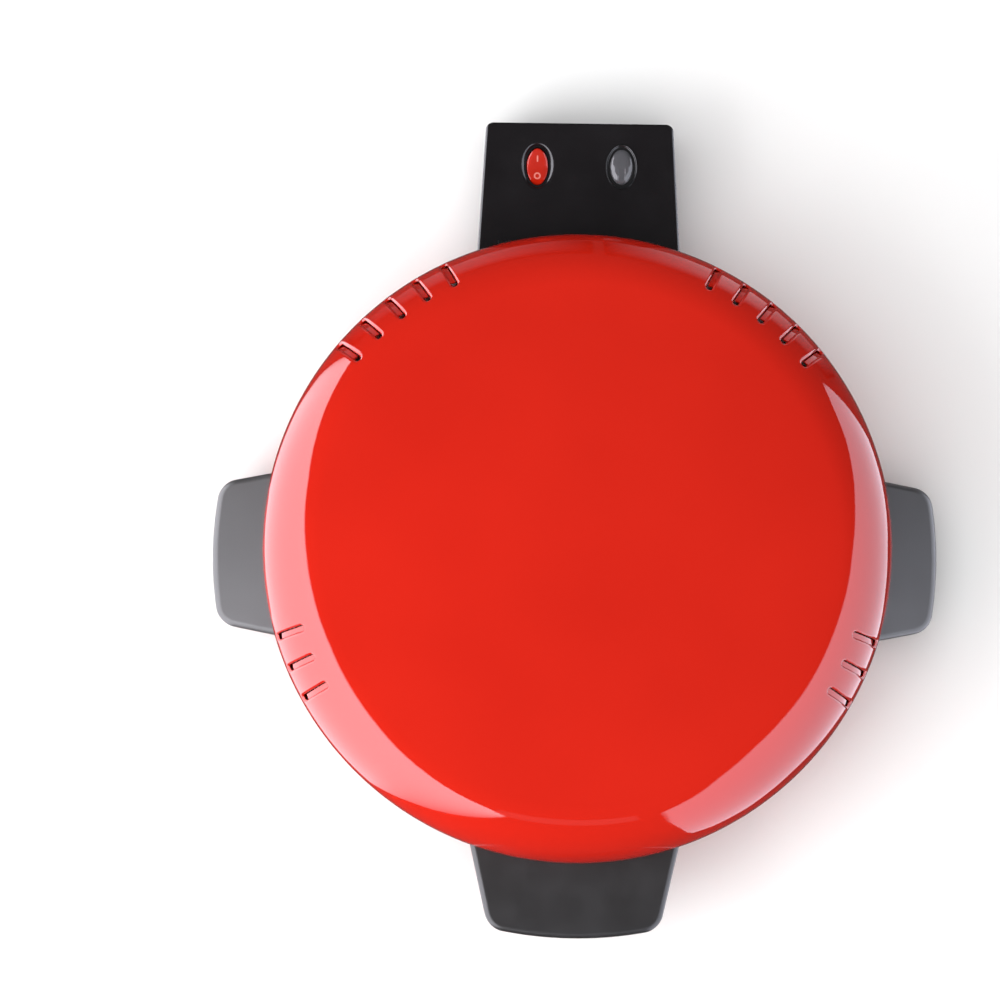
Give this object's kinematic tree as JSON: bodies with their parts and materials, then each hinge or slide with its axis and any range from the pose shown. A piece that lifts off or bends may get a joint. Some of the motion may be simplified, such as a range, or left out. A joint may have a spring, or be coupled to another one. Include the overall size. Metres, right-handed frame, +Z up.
{
  "type": "electric pizza maker",
  "caption": "Round electric pizza maker: a red domed lid with vents and a handle, hinged on a base with a baking plate, side handles and a rear switch housing.",
  "frame": {"origin": "middle of the footprint's bounding box, at the feet's underside", "axes": "+X to the user's right, +Y towards the rear housing, +Z up"},
  "size_m": [0.386, 0.4345, 0.1091],
  "materials": {
    "red_enamel": "glossy red enamel",
    "bright_steel": "bright rolled steel",
    "plated_steel": "zinc-plated",
    "element_sheath": "heat-darkened steel sheath",
    "non_stick": "cast aluminium with a black non-stick coating",
    "handle_black": "finely textured black",
    "housing_black": "polished black",
    "rocker_red": "glossy red",
    "clear_lens": "clear, faceted inside",
    "white_ceramic": "unglazed",
    "neon_glass": "clear glass",
    "cream_plastic": "moulded",
    "black_rubber": "matt",
    "gland_black": "moulded, soft"
  },
  "bodies": {
    "base": {"base_shell": "red_enamel", "bottom_cover": "plated_steel", "baking_plate": "non_stick", "plate_tie_bolts": "plated_steel", "stack_spacers": "plated_steel", "lower_heating_element": "element_sheath", "lower_element_clamps": "plated_steel", "lower_reflector": "bright_steel", "thermostat": "plated_steel", "thermal_fuse": "white_ceramic", "right_side_handle": "handle_black", "left_side_handle": "handle_black", "foot_front_left": "black_rubber", "foot_front_right": "black_rubber", "foot_rear_left": "black_rubber", "foot_rear_right": "black_rubber", "hinge_bracket": "plated_steel", "hinge_pin": "plated_steel", "housing_tray": "housing_black", "housing_cover": "housing_black", "housing_foot_left": "black_rubber", "housing_foot_right": "black_rubber", "switch_body": "housing_black", "indicator_lens": "clear_lens", "lamp_holder": "cream_plastic", "neon_bulb": "neon_glass", "terminal_block": "cream_plastic", "cord_gland": "gland_black"},
    "lid": {"lid_shell": "red_enamel", "lid_reflector": "bright_steel", "lid_brackets": "plated_steel", "upper_heating_element": "element_sheath", "upper_element_clips": "plated_steel", "upper_element_bushings": "white_ceramic", "lid_hinge_leaf": "plated_steel", "front_handle": "handle_black", "front_handle_cover": "handle_black"},
    "rocker": {"switch_rocker": "rocker_red"}
  },
  "joints": [
    {"name": "lid_hinge", "type": "hinge", "parent": "base", "child": "lid", "pos_m": [0, 0.14775, 0.05], "axis": [-1, 0, 0], "range_deg": [0, 95]},
    {"name": "rocker_tilt", "type": "hinge", "parent": "base", "child": "rocker", "pos_m": [-0.0225, 0.19225, 0.0395], "axis": [-1, 0, 0], "range_deg": [0, 18]}
  ]
}
